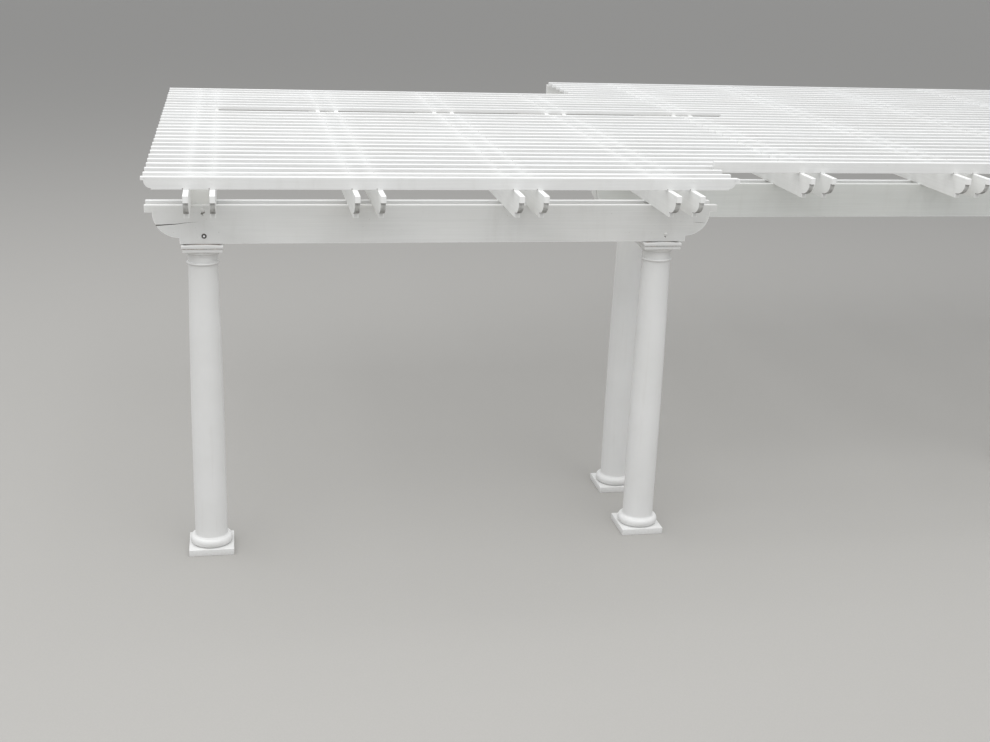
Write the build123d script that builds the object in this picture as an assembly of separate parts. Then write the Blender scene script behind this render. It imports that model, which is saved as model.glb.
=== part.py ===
from build123d import *
from math import atan, cos, degrees, hypot
import os

# Pergola in two sections that stand side by side under one roof of slats, in millimetres.
# X runs along the house to the right, Y goes back to the house, Z is up. Sizes are laid out from
# the foot of the first column, and every piece is moved at the end, so that the origin is the
# middle of the back face of the ledger of section A.

# Square post inside each column
post_side = 140

# Column: plinth and torus below, hollow shaft with entasis and a ring, quarter round and square cap.
# The radii grow outwards from the post: clearance, wall, taper and what each moulding stands out.
column_height = 2438.4
post_clearance = 0.5
shaft_wall = 7
collar_inset = 0.8
shaft_taper = 16.7
straight_height = 760
plinth_margin = 8.5
plinth_height = 51
torus_projection = 38.5
torus_bulge = 28
torus_height = 68
fillet_projection = 9.5
fillet_height = 3
flare_height = 8
flare_edge = 2.0
ring_projection = 13
ring_height = 19
ring_shoulder = 4
ring_flare = 24
collar_height = 34
cap_band_projection = 9
cap_band_height = 15
echinus_projection = 23.5
echinus_height = 25
lower_slab_margin = 4
lower_slab_height = 26
upper_slab_margin = 6
upper_slab_height = 17.4
fit = 0.4

# Boards, and the gap that the posts leave between a cap and its beam
board_thickness = 38
beam_height = 286
rafter_height = 184
front_board_height = 89
slat_width = 38
slat_height = 38
beam_gap = 9

# Shaped ends: upright nose, step back, convex quarter of an ellipse
beam_nose = 56
beam_step = 53
beam_run = 186
beam_drop = 186
rafter_nose = 50
rafter_step = 22
rafter_run = 130
rafter_drop = 104
front_board_nose = 33
front_board_step = 20
front_board_run = 50

# Section A
column_spacing_a = 3471
beam_overhang = 398
beam_overhang_right = 426
rafter_spaces_a = 3
rafter_overhang_a = 700
front_board_setback_a = 475
front_board_overhang = 402
front_board_overhang_right = 435
ledger_inset = 239
post_top_gap = 12

# Section B
column_offset_b = 51
column_setback_b = 885
bays_b = 2
column_spacing_b = 4050
rafter_spaces_b = 3
rafter_overhang_b = 850
front_board_setback_b = 623
section_b_start = 510

# Roof: it rises to the house, and its slats lie at a steady pitch
roof_rise_per_metre = 12.5
slat_pitch = 190.5
first_slat_lead = 222
rows_before_section_b = 4
rows_to_wall_a = 28
rows_to_wall_b = 34
slat_overhang = 400
slat_overhang_right = 549
butt_gap = 2

# Walls of the house, behind the columns of section A and one behind the other
wall_setback = 5056.5
wall_step = 1143

# One length of slat is missing, between these places
missing_row = 20
missing_start = 89
missing_end = 5300

# Radii and widths that follow
collar_inside = hypot(post_side, post_side) / 2 + post_clearance
collar_radius = collar_inside + shaft_wall
shaft_neck_radius = collar_radius + collar_inset
shaft_foot_radius = shaft_neck_radius + shaft_taper
torus_radius = shaft_foot_radius + torus_projection
fillet_radius = shaft_foot_radius + fillet_projection
plinth_side = 2 * (torus_radius + plinth_margin)
ring_radius = collar_radius + ring_projection
cap_band_radius = collar_radius + cap_band_projection
echinus_radius = cap_band_radius + echinus_projection
lower_slab_side = 2 * (echinus_radius + lower_slab_margin)
upper_slab_side = lower_slab_side + 2 * upper_slab_margin

# Heights that follow
roof_slope = roof_rise_per_metre / 1000
roof_tilt = atan(roof_slope)
beam_bottom_a = column_height + beam_gap
seat_height_a = beam_bottom_a + beam_height
seat_rise_b = column_setback_b * roof_slope
slat_bottom = seat_height_a + rafter_height

# Places along X that follow
pair_offset = post_side / 2
rafter_pitch_a = column_spacing_a / rafter_spaces_a
rafter_pitch_b = column_spacing_b / rafter_spaces_b
columns_a = [0, column_spacing_a]
columns_b = [column_spacing_a + column_offset_b + column_spacing_b * i for i in range(bays_b + 1)]
pairs_a = [rafter_pitch_a * i for i in range(rafter_spaces_a + 1)]
pairs_b = [column_spacing_a + rafter_pitch_b * (i + 1) for i in range(rafter_spaces_b * bays_b)]
beam_a_start = -beam_overhang
beam_a_end = column_spacing_a + beam_overhang_right
beam_b_start = columns_b[0] - beam_overhang
beam_b_end = columns_b[-1] + beam_overhang
slat_left_end = -slat_overhang
slat_right_end_a = column_spacing_a + slat_overhang_right
slat_right_end_b = columns_b[-1] + slat_overhang
half_board = board_thickness / 2
front_board_b_start = column_spacing_a + section_b_start
first_joint = pairs_b[0] - pair_offset - half_board
second_joint = pairs_b[rafter_spaces_b] - pair_offset - half_board
ledger_a_start = beam_a_start + ledger_inset
ledger_a_end = beam_a_end - ledger_inset
ledger_b_start = front_board_b_start
ledger_b_end = beam_b_end - ledger_inset

# Places along Y that follow
beam_front = -post_side / 2 - board_thickness
beam_rear = post_side / 2
beam_depth = post_side + 2 * board_thickness
seat_back = beam_rear + board_thickness
ledger_a_back = wall_setback
ledger_b_back = wall_setback + wall_step
front_board_a_y = -front_board_setback_a
front_board_b_y = column_setback_b - front_board_setback_b


def ledger_top(back):
    # Height of the sloping tops of the rafters where they meet the ledger's front face
    along = back - board_thickness - seat_back
    return seat_height_a + rafter_height / cos(roof_tilt) + along * roof_slope


low = (Align.MIN, Align.MIN, Align.MIN)
standing = (Align.CENTER, Align.CENTER, Align.MIN)
origin = Pos(
    -(ledger_a_start + ledger_a_end) / 2,
    -ledger_a_back,
    rafter_height / 2 - ledger_top(ledger_a_back),
)
tilt_axis = Axis((0, seat_back, seat_height_a), (1, 0, 0))


def save(name, shapes):
    solids = [origin * solid for shape in shapes for solid in shape.solids()]
    whole = solids[0] if len(solids) == 1 else Compound(children=solids)
    export_step(whole, f"parts/{name}.step")


def tilted(shape):
    # From level to the slope of the roof, about the back edge of the seats on beam A
    return shape.rotate(tilt_axis, degrees(roof_tilt))


def column_base():
    # Square plinth, torus, narrow fillet and a small flare against the shaft
    bore = shaft_foot_radius + fit
    half = torus_height / 2
    torus_middle = torus_radius - torus_bulge
    torus_centre = (torus_middle, plinth_height + half)
    torus_top = plinth_height + torus_height
    fillet_top = torus_top + fillet_height
    flare_top = fillet_top + flare_height
    flare_foot = bore + flare_edge
    profile = make_face([
        Line((bore, plinth_height), (torus_middle, plinth_height)),
        EllipticalCenterArc(torus_centre, torus_bulge, half, 270),
        EllipticalCenterArc(torus_centre, torus_bulge, half, 0),
        Line((torus_middle, torus_top), (fillet_radius, torus_top)),
        Line((fillet_radius, torus_top), (fillet_radius, fillet_top)),
        EllipticalCenterArc(
            (fillet_radius, flare_top), fillet_radius - flare_foot, flare_height, 180
        ),
        Line((flare_foot, flare_top), (bore, flare_top)),
        Line((bore, flare_top), (bore, plinth_height)),
    ])
    plinth = extrude(Rectangle(plinth_side, plinth_side) - Circle(bore), plinth_height)
    return plinth + revolve(Plane.XZ * profile, Axis.Z)


def column_shaft(seat):
    # Hollow turned shell: straight below, then a slow curve inwards to the neck, then the ring
    collar_foot = seat - lower_slab_height - echinus_height - cap_band_height - collar_height
    ring_foot = collar_foot - ring_height
    neck = ring_foot - ring_flare
    shoulder = ring_radius - ring_shoulder
    foot_inside = shaft_foot_radius - shaft_wall
    neck_inside = shaft_neck_radius - shaft_wall
    closing = (shaft_neck_radius - shaft_foot_radius, (neck - straight_height) / 2)
    profile = make_face([
        Line((shaft_foot_radius, 0), (shaft_foot_radius, straight_height)),
        Spline(
            (shaft_foot_radius, straight_height),
            (shaft_neck_radius, neck),
            tangents=[(0, 1), closing],
        ),
        Line((shaft_neck_radius, neck), (shoulder, ring_foot)),
        ThreePointArc(
            (shoulder, ring_foot), (ring_radius, ring_foot + ring_height / 2), (shoulder, collar_foot)
        ),
        Line((shoulder, collar_foot), (collar_radius, collar_foot)),
        Line((collar_radius, collar_foot), (collar_radius, seat)),
        Line((collar_radius, seat), (collar_inside, seat)),
        Line((collar_inside, seat), (collar_inside, ring_foot)),
        Line((collar_inside, ring_foot), (neck_inside, neck)),
        Spline(
            (foot_inside, straight_height), (neck_inside, neck), tangents=[(0, 1), closing]
        ),
        Line((foot_inside, straight_height), (foot_inside, 0)),
        Line((foot_inside, 0), (shaft_foot_radius, 0)),
    ])
    return revolve(Plane.XZ * profile, Axis.Z)


def column_capital(seat):
    # Band and quarter round about the collar, under a square cap of two slabs. The upper slab
    # rests on the top of the shaft and fits round the post.
    bore = collar_radius + fit
    slab_foot = seat - lower_slab_height
    band_top = slab_foot - echinus_height
    band_foot = band_top - cap_band_height
    profile = make_face([
        Line((bore, band_foot), (cap_band_radius, band_foot)),
        Line((cap_band_radius, band_foot), (cap_band_radius, band_top)),
        EllipticalCenterArc(
            (cap_band_radius, slab_foot), echinus_radius - cap_band_radius, echinus_height, 270
        ),
        Line((echinus_radius, slab_foot), (bore, slab_foot)),
        Line((bore, slab_foot), (bore, band_foot)),
    ])
    lower = Rectangle(lower_slab_side, lower_slab_side) - Circle(bore)
    hole = post_side + 2 * fit
    upper = Rectangle(upper_slab_side, upper_slab_side) - Rectangle(hole, hole)
    return (
        revolve(Plane.XZ * profile, Axis.Z)
        + Pos(0, 0, slab_foot) * extrude(lower, lower_slab_height)
        + Pos(0, 0, seat) * extrude(upper, upper_slab_height)
    )


def shaped_face(length, height, nose, step, run, drop, both_ends):
    # Side of a board on edge: its first end is shaped, and its second end too where asked
    shoulder = height - nose
    toe = shoulder - drop
    heel = step + run
    edges = [
        Line((length, height), (0, height)),
        Line((0, height), (0, shoulder)),
        Line((0, shoulder), (step, shoulder)),
        EllipticalCenterArc((heel, shoulder), run, drop, 180),
    ]
    if toe > 0:
        edges.append(Line((heel, toe), (heel, 0)))
    if both_ends:
        edges.append(Line((heel, 0), (length - heel, 0)))
        if toe > 0:
            edges.append(Line((length - heel, 0), (length - heel, toe)))
        edges.append(EllipticalCenterArc((length - heel, shoulder), run, drop, 270))
        edges.append(Line((length - step, shoulder), (length, shoulder)))
        edges.append(Line((length, shoulder), (length, height)))
    else:
        edges.append(Line((heel, 0), (length, 0)))
        edges.append(Line((length, 0), (length, height)))
    return make_face(edges)


def board_along_x(face, x, y, z):
    # The face stands along X, and the board's thickness goes back from y
    return Pos(x, y + board_thickness, z) * extrude(Plane.XZ * face, board_thickness)


def turned_round(solid, start, end):
    # Swaps the two ends of a board that reaches from start to end
    return mirror(solid, Plane.YZ.offset((start + end) / 2))


def beam_face(length, both_ends):
    return shaped_face(length, beam_height, beam_nose, beam_step, beam_run, beam_drop, both_ends)


def front_board_face(length, both_ends):
    drop = front_board_height - front_board_nose
    return shaped_face(
        length, front_board_height, front_board_nose, front_board_step, front_board_run, drop, both_ends
    )


def rafter_pair(x_middle, y_front, ledger_back):
    # Two boards to the slope of the roof, cut plumb against the ledger, with level seats that
    # are cut where they cross a beam
    y_end = ledger_back - board_thickness
    spare = rafter_height
    face = shaped_face(
        y_end - y_front + spare,
        rafter_height,
        rafter_nose,
        rafter_step,
        rafter_run,
        rafter_drop,
        False,
    )
    level = Pos(0, y_front, seat_height_a) * extrude(Plane.YZ * face, board_thickness)
    beyond = Pos(0, y_end, 0) * Box(board_thickness, 4 * spare, 2 * slat_bottom, align=low)
    rafter = tilted(level) - beyond
    for beam_y, rise in ((0, 0), (column_setback_b, seat_rise_b)):
        under = Box(board_thickness, beam_depth, seat_height_a + rise, align=low)
        rafter -= Pos(0, beam_y + beam_front, 0) * under
    left = x_middle - pair_offset - board_thickness
    return [Pos(left, 0, 0) * rafter, Pos(x_middle + pair_offset, 0, 0) * rafter]


def slat(x_start, x_end, row):
    y = (row - 1) * slat_pitch - first_slat_lead
    box = Box(x_end - x_start, slat_width, slat_height, align=low)
    return tilted(Pos(x_start, y, slat_bottom) * box)


os.makedirs("parts", exist_ok=True)

# Columns and the posts inside them. Those of section B are longer by the rise of the roof. The
# posts of section A go on up between the rafters, and those of section B end under a rafter.
base = column_base()
places = [(x, 0, 0) for x in columns_a] + [(x, column_setback_b, seat_rise_b) for x in columns_b]
posts = []
for number, (x, y, rise) in enumerate(places, start=1):
    seat = column_height + rise - upper_slab_height
    save(f"column_{number}_base", [Pos(x, y, 0) * base])
    save(f"column_{number}_shaft", [Pos(x, y, 0) * column_shaft(seat)])
    save(f"column_{number}_capital", [Pos(x, y, 0) * column_capital(seat)])
    top = seat_height_a + rise if rise else slat_bottom - post_top_gap
    posts.append(Pos(x, y, 0) * Box(post_side, post_side, top, align=standing))
save("inner_posts", posts)

# Beams: a board on the front and the rear of the posts. Those of beam B are butted on a column.
beam_bottom_b = beam_bottom_a + seat_rise_b
middle_column = columns_b[bays_b // 2]
left_end = middle_column - butt_gap / 2
right_start = middle_column + butt_gap / 2
face_a = beam_face(beam_a_end - beam_a_start, True)
face_b_left = beam_face(left_end - beam_b_start, False)
face_b_right = beam_face(beam_b_end - right_start, False)
for side, y in (("front", beam_front), ("rear", beam_rear)):
    y_b = column_setback_b + y
    right = board_along_x(face_b_right, right_start, y_b, beam_bottom_b)
    save(f"beam_a_{side}", [board_along_x(face_a, beam_a_start, y, beam_bottom_a)])
    save(f"beam_b_{side}_left", [board_along_x(face_b_left, beam_b_start, y_b, beam_bottom_b)])
    save(f"beam_b_{side}_right", [turned_round(right, right_start, beam_b_end)])

# Rafters, from their shaped noses to the ledgers
for number, x in enumerate(pairs_a, start=1):
    save(f"rafters_a_{number}", rafter_pair(x, -rafter_overhang_a, ledger_a_back))
for number, x in enumerate(pairs_b, start=1):
    save(f"rafters_b_{number}", rafter_pair(x, column_setback_b - rafter_overhang_b, ledger_b_back))

# Ledgers on the two walls
for name, start, end, back in (
    ("ledger_a", ledger_a_start, ledger_a_end, ledger_a_back),
    ("ledger_b", ledger_b_start, ledger_b_end, ledger_b_back),
):
    board = Box(end - start, board_thickness, rafter_height, align=low)
    save(name, [Pos(start, back - board_thickness, ledger_top(back) - rafter_height) * board])

# Front boards on edge over the rafters
board_a_start = -front_board_overhang
board_a_end = column_spacing_a + front_board_overhang_right
board_a = front_board_face(board_a_end - board_a_start, True)
save("front_board_a", [tilted(board_along_x(board_a, board_a_start, front_board_a_y, slat_bottom))])
plain_end = second_joint - butt_gap / 2
plain = Box(plain_end - front_board_b_start, board_thickness, front_board_height, align=low)
save("front_board_b_left", [tilted(Pos(front_board_b_start, front_board_b_y, slat_bottom) * plain)])
shaped_start = second_joint + butt_gap / 2
board_b_end = columns_b[-1] + front_board_overhang
shaped = board_along_x(
    front_board_face(board_b_end - shaped_start, False), shaped_start, front_board_b_y, slat_bottom
)
save("front_board_b_right", [tilted(turned_round(shaped, shaped_start, board_b_end))])

# Slats: the first rows cover section A alone, and the next run on over section B
first_rows = range(1, rows_before_section_b + 1)
rows_a = range(rows_before_section_b + 1, rows_to_wall_a + 1)
rows_b = range(rows_before_section_b + 1, rows_to_wall_b + 1)
rows_corner = range(rows_to_wall_a + 1, rows_to_wall_b + 1)
left_stop = first_joint - butt_gap / 2
middle_start = first_joint + butt_gap / 2
save("slats_front", [slat(slat_left_end, slat_right_end_a, row) for row in first_rows])
save(
    "slats_left",
    [slat(slat_left_end, missing_start if row == missing_row else left_stop, row) for row in rows_a],
)
save(
    "slats_middle",
    [slat(missing_end if row == missing_row else middle_start, plain_end, row) for row in rows_b],
)
save("slats_right", [slat(shaped_start, slat_right_end_b, row) for row in rows_b])
save("slats_corner", [slat(ledger_b_start, left_stop, row) for row in rows_corner])
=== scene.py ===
import bpy
import numpy as np
from mathutils import Matrix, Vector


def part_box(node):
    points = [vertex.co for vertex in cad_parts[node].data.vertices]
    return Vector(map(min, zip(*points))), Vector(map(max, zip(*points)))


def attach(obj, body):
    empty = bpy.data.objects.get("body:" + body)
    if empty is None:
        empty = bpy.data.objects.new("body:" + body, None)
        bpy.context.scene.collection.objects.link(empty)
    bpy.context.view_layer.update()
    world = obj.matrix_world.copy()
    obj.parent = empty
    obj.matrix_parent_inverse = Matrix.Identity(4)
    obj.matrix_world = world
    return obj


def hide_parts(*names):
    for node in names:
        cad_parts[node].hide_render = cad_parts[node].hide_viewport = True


# Pergola with round columns. Everything is laid out in metres from the foot of the first column,
# and moved into the frame when a mesh is made.
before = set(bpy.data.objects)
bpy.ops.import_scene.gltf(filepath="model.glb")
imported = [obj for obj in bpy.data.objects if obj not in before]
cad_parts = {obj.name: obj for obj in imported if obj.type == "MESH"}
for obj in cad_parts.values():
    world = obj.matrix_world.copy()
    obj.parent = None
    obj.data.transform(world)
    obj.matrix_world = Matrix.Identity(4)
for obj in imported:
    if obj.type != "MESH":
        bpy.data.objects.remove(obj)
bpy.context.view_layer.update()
low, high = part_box("column_1_base")
foot = np.array([(low.x + high.x) / 2, (low.y + high.y) / 2, low.z])
scene = bpy.context.scene
chance = np.random.default_rng(23)
print("frame:", len(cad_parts), "nodes")


def nodeBox(name):
    # Lowest and highest corner of a node, less the place of the first column's foot
    return [np.array(corner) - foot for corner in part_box(name)]


def nodeMiddle(name):
    # Half-way between a node's lowest and highest corner
    return sum(nodeBox(name)) / 2


# Camera: turned to the right by the yaw, tipped down by the pitch and leaned over by the roll
view = {
    "place": (0.2239, -9.7651, 4.5897), "yaw": 11.533, "pitch": 17.787, "roll": 2.160,
    "lens": 48.392, "sensor": 36, "farthest": 1500,
}
yaw, pitch, roll = np.radians([view["yaw"], view["pitch"], view["roll"]])
ahead = np.array([np.sin(yaw) * np.cos(pitch), np.cos(yaw) * np.cos(pitch), -np.sin(pitch)])
level = np.array([np.cos(yaw), -np.sin(yaw), 0])
over = np.cross(level, ahead)
right = np.cos(roll) * level + np.sin(roll) * over
upward = np.cos(roll) * over - np.sin(roll) * level
eye = foot + view["place"]
lens = bpy.data.cameras.new("camera")
lens.lens = view["lens"]
lens.sensor_width = view["sensor"]
lens.clip_end = view["farthest"]
camera = bpy.data.objects.new("camera", lens)
camera.matrix_world = Matrix((
    (right[0], upward[0], -ahead[0], eye[0]),
    (right[1], upward[1], -ahead[1], eye[1]),
    (right[2], upward[2], -ahead[2], eye[2]),
    (0, 0, 0, 1),
))
scene.collection.objects.link(camera)
scene.camera = camera
scene.view_settings.view_transform = "Standard"

# Light: an even sky and one large softbox over the front
light = {
    "sky": (0.96, 0.975, 1.0), "skyStrength": 0.66,
    "softbox": 3900, "softboxSize": 28, "softboxPlace": (-1, -5, 16), "softboxTilt": 6,
}
world = bpy.data.worlds.new("sky")
world.use_nodes = True
world.node_tree.nodes["Background"].inputs["Color"].default_value = (*light["sky"], 1)
world.node_tree.nodes["Background"].inputs["Strength"].default_value = light["skyStrength"]
scene.world = world
lamp = bpy.data.lights.new("softbox", "AREA")
lamp.energy = light["softbox"]
lamp.size = light["softboxSize"]
softbox = bpy.data.objects.new("softbox", lamp)
softbox.location = foot + light["softboxPlace"]
softbox.rotation_euler = (np.radians(light["softboxTilt"]), 0, 0)
scene.collection.objects.link(softbox)


# Helpers for materials
def addNode(tree, kind, **values):
    # One shader node; each value goes to the socket of that name, or else to the node's own setting
    node = tree.nodes.new("ShaderNode" + kind)
    for key, value in values.items():
        if key in node.inputs.keys():
            node.inputs[key].default_value = value
        else:
            setattr(node, key, value)
    return node


def stretched(tree, source, scale):
    # The same coordinates, drawn out or pressed together along each axis
    node = addNode(tree, "Mapping", Scale=scale)
    tree.links.new(source, node.inputs["Vector"])
    return node.outputs["Vector"]


def noise(tree, vector, scale, detail=3.0, roughness=0.55):
    # Cloudy noise about a half, with so many waves to the unit and finer ones added to them
    node = addNode(tree, "TexNoise", Scale=scale, Detail=detail, Roughness=roughness)
    tree.links.new(vector, node.inputs["Vector"])
    return node.outputs["Fac"]


def ranged(tree, value, fromLow, fromHigh, toLow, toHigh):
    # The value's place between two limits, carried over to two others and held there beyond them
    node = addNode(tree, "MapRange")
    for number, amount in zip((1, 2, 3, 4), (fromLow, fromHigh, toLow, toHigh)):
        node.inputs[number].default_value = amount
    tree.links.new(value, node.inputs[0])
    return node.outputs[0]


def worked(tree, operation, first, second):
    # Two values added, multiplied or compared, as the operation says
    node = addNode(tree, "Math", operation=operation)
    for socket, value in zip(node.inputs, (first, second)):
        if isinstance(value, (int, float)):
            socket.default_value = value
        else:
            tree.links.new(value, socket)
    return node.outputs[0]


def mixed(tree, amount, first, second, blend="MIX"):
    # Colour: the first where the amount is 0, blended with the second where it is 1
    node = addNode(tree, "Mix", data_type="RGBA", blend_type=blend)
    for socket, value in ((node.inputs[0], amount), (node.inputs[6], first), (node.inputs[7], second)):
        if isinstance(value, tuple):
            socket.default_value = (*value, 1)
        elif isinstance(value, (int, float)):
            socket.default_value = value
        else:
            tree.links.new(value, socket)
    return node.outputs[2]


def bumped(tree, height, strength, distance, before=None):
    # The surface's direction tipped by the slope of the height, on top of an earlier one where given
    node = addNode(tree, "Bump", Strength=strength, Distance=distance)
    tree.links.new(height, node.inputs["Height"])
    if before is not None:
        tree.links.new(before, node.inputs["Normal"])
    return node.outputs["Normal"]


def newMaterial(name):
    # A material with its node tree and its main shader
    material = bpy.data.materials.new(name)
    material.use_nodes = True
    return material, material.node_tree, material.node_tree.nodes["Principled BSDF"]


def attribute(tree, name):
    # What each mesh carries at its points under that name
    return addNode(tree, "Attribute", attribute_name=name)


# Paints: ranges are the limits of the noise between which a colour or share comes in
# the grime colour darkens the curved ends as grime and painted shade; the edge colour is a painted highlight
boardPaint = {
    "colour": (0.80, 0.805, 0.79), "second": (0.755, 0.755, 0.735), "patchScale": 1.7,
    "patchRange": (0.35, 0.7), "toneSpread": 0.06, "edge": (0.94, 0.94, 0.93), "edgeShare": 0.5,
    "dirt": (0.30, 0.27, 0.22), "streakScale": (9, 9, 1.1), "streakRange": (0.52, 0.8), "streak": 0.10,
    "fleckScale": 75.0, "fleckRange": (0.3, 0.7), "fleckShare": (0.5, 1.3), "speckRange": (0.735, 0.80),
    "speck": 0.5, "grime": (0.085, 0.08, 0.07), "blotchScale": 34.0, "blotchRange": (0.34, 0.62),
    "blotchShare": (0.62, 1.1), "grainScale": (1.6, 70, 70), "grainRange": (0.25, 0.75),
    "grainShade": (0.95, 1.015), "grain": 0.55, "grainDepth": 0.0009, "brushScale": (4, 320, 320),
    "brush": 0.25, "brushDepth": 0.0003, "roughRange": (0.3, 0.7), "roughness": (0.42, 0.6),
}
# The same white paint in darker and paler copies. The older one is darker, as painted shade from the roofs
# over the second beam's front boards, and a little greener; the trim, rafter and slat ones are paler, as
# painted light on the front boards and rear beam boards, the rafters and the slats.
olderShadedPaint = dict(boardPaint, colour=(0.73, 0.745, 0.72), second=(0.69, 0.70, 0.67))
litTrimPaint = dict(boardPaint, colour=(0.87, 0.875, 0.865), second=(0.83, 0.83, 0.815))
litRafterPaint = dict(boardPaint, colour=(0.88, 0.885, 0.87), second=(0.84, 0.84, 0.82))
litSlatPaint = dict(boardPaint, colour=(0.90, 0.905, 0.90), second=(0.85, 0.85, 0.84))
litSlatPaint |= {"streak": 0.08, "toneSpread": 0.08}


def paintedWood(name, look):
    # Brushed paint over grain that runs along each board: two colours in patches, times the board's tone
    # and the grain's shade, then dirt in streaks and specks, paler edges as a painted highlight, and
    # blotched grime with painted shade on the curved ends, darker as they face down and under their steps
    material, tree, shader = newMaterial(name)
    place = addNode(tree, "TexCoord").outputs["Object"]
    along = attribute(tree, "grain").outputs["Vector"]
    tone = attribute(tree, "tone").outputs["Fac"]
    grain = noise(tree, stretched(tree, along, look["grainScale"]), 1.0, 4.0, 0.6)
    brush = noise(tree, stretched(tree, along, look["brushScale"]), 1.0, 2.0)
    patch = noise(tree, place, look["patchScale"], 4.0)
    streak = noise(tree, stretched(tree, place, look["streakScale"]), 1.0, 4.0, 0.62)
    fleck = noise(tree, place, look["fleckScale"], 2.0)
    blotch = noise(tree, place, look["blotchScale"], 3.0, 0.6)

    colour = mixed(tree, ranged(tree, patch, *look["patchRange"], 0, 1), look["colour"], look["second"])
    shade = ranged(tree, tone, 0, 1, 1 - look["toneSpread"], 1.0)
    shade = worked(tree, "MULTIPLY", shade, ranged(tree, grain, *look["grainRange"], *look["grainShade"]))
    colour = mixed(tree, 1, colour, shade, "MULTIPLY")

    streaks = ranged(tree, streak, *look["streakRange"], 0, look["streak"])
    dirt = worked(tree, "MULTIPLY", streaks, ranged(tree, fleck, *look["fleckRange"], *look["fleckShare"]))
    specks = ranged(tree, fleck, *look["speckRange"], 0, look["speck"])
    colour = mixed(tree, worked(tree, "MAXIMUM", dirt, specks), colour, look["dirt"])
    # paler edges: a painted highlight along the boards' eased edges
    edges = worked(tree, "MULTIPLY", attribute(tree, "edge").outputs["Fac"], look["edgeShare"])
    colour = mixed(tree, edges, colour, look["edge"])
    blotches = ranged(tree, blotch, *look["blotchRange"], *look["blotchShare"])
    # blotched grime and painted shade: darker on the curved ends as they face down, and under the steps
    corners = worked(tree, "MULTIPLY", attribute(tree, "grime").outputs["Fac"], blotches)
    colour = mixed(tree, corners, colour, look["grime"])

    tree.links.new(colour, shader.inputs["Base Color"])
    tree.links.new(ranged(tree, patch, *look["roughRange"], *look["roughness"]), shader.inputs["Roughness"])
    relief = bumped(tree, grain, look["grain"], look["grainDepth"])
    tree.links.new(bumped(tree, brush, look["brush"], look["brushDepth"], relief), shader.inputs["Normal"])
    return material


columnPaint = {
    "colour": (0.785, 0.785, 0.775), "second": (0.745, 0.745, 0.73), "patchScale": 2.3,
    "patchRange": (0.35, 0.7), "splash": (0.36, 0.31, 0.25), "splashHeight": 0.16,
    "splashRange": (0.45, 0.75), "splashShare": 0.16, "runScale": (26, 26, 1.4), "runRange": (0.6, 0.85),
    # the joint colour is reddish-brown, mixed in noise with a near-black gap colour that is painted shade
    "runShare": 0.10, "fleckScale": 60.0, "joint": (0.24, 0.15, 0.10), "jointRange": (0.3, 0.6),
    "jointShare": (0.5, 1), "gap": (0.045, 0.035, 0.03), "gapScale": 14.0, "gapRange": (0.42, 0.56),
    "rollerScale": 260.0, "roller": 0.12, "rollerDepth": 0.0004, "roughRange": (0.3, 0.7),
    "roughness": (0.36, 0.5),
}


def paintedColumn(name, look):
    # Satin paint with a roller's texture: two colours in patches, splashes that fade with the height
    # above the foot, thin runs down the shaft, and reddish-brown and black where the mesh carries grime:
    # the joints between the slabs, and painted shade in the creases, under the ring and under the slabs
    material, tree, shader = newMaterial(name)
    place = addNode(tree, "TexCoord").outputs["Object"]
    patch = noise(tree, place, look["patchScale"], 4.0)
    roller = noise(tree, place, look["rollerScale"], 2.0)
    run = noise(tree, stretched(tree, place, look["runScale"]), 1.0, 3.0)
    fleck = noise(tree, place, look["fleckScale"], 3.0)
    gap = noise(tree, place, look["gapScale"], 2.0)
    height = addNode(tree, "SeparateXYZ")
    tree.links.new(attribute(tree, "grain").outputs["Vector"], height.inputs[0])

    colour = mixed(tree, ranged(tree, patch, *look["patchRange"], 0, 1), look["colour"], look["second"])
    nearFloor = ranged(tree, height.outputs[2], 0, look["splashHeight"], 1, 0)
    flecks = ranged(tree, fleck, *look["splashRange"], 0, look["splashShare"])
    splash = worked(tree, "MULTIPLY", nearFloor, flecks)
    runs = ranged(tree, run, *look["runRange"], 0, look["runShare"])
    colour = mixed(tree, worked(tree, "MAXIMUM", splash, runs), colour, look["splash"])
    # reddish-brown and near-black where the mesh marks grime: joints, and painted shade in creases and under
    # parts
    broken = ranged(tree, fleck, *look["jointRange"], *look["jointShare"])
    joint = worked(tree, "MULTIPLY", attribute(tree, "grime").outputs["Fac"], broken)
    jointAndShadeColour = mixed(tree, ranged(tree, gap, *look["gapRange"], 0, 1), look["gap"], look["joint"])
    colour = mixed(tree, joint, colour, jointAndShadeColour)

    tree.links.new(colour, shader.inputs["Base Color"])
    tree.links.new(ranged(tree, patch, *look["roughRange"], *look["roughness"]), shader.inputs["Roughness"])
    tree.links.new(bumped(tree, roller, look["roller"], look["rollerDepth"]), shader.inputs["Normal"])
    return material


postWood = {
    "colour": (0.36, 0.27, 0.16), "dark": (0.17, 0.11, 0.06), "grainScale": (60, 60, 2.2),
    "grainRange": (0.35, 0.68), "sawScale": (6, 6, 300), "grain": 0.5, "grainDepth": 0.0008,
    "roughness": 0.85, "paint": (0.80, 0.80, 0.775), "paintFrom": 2.6, "paintEdge": 0.001,
}


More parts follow.
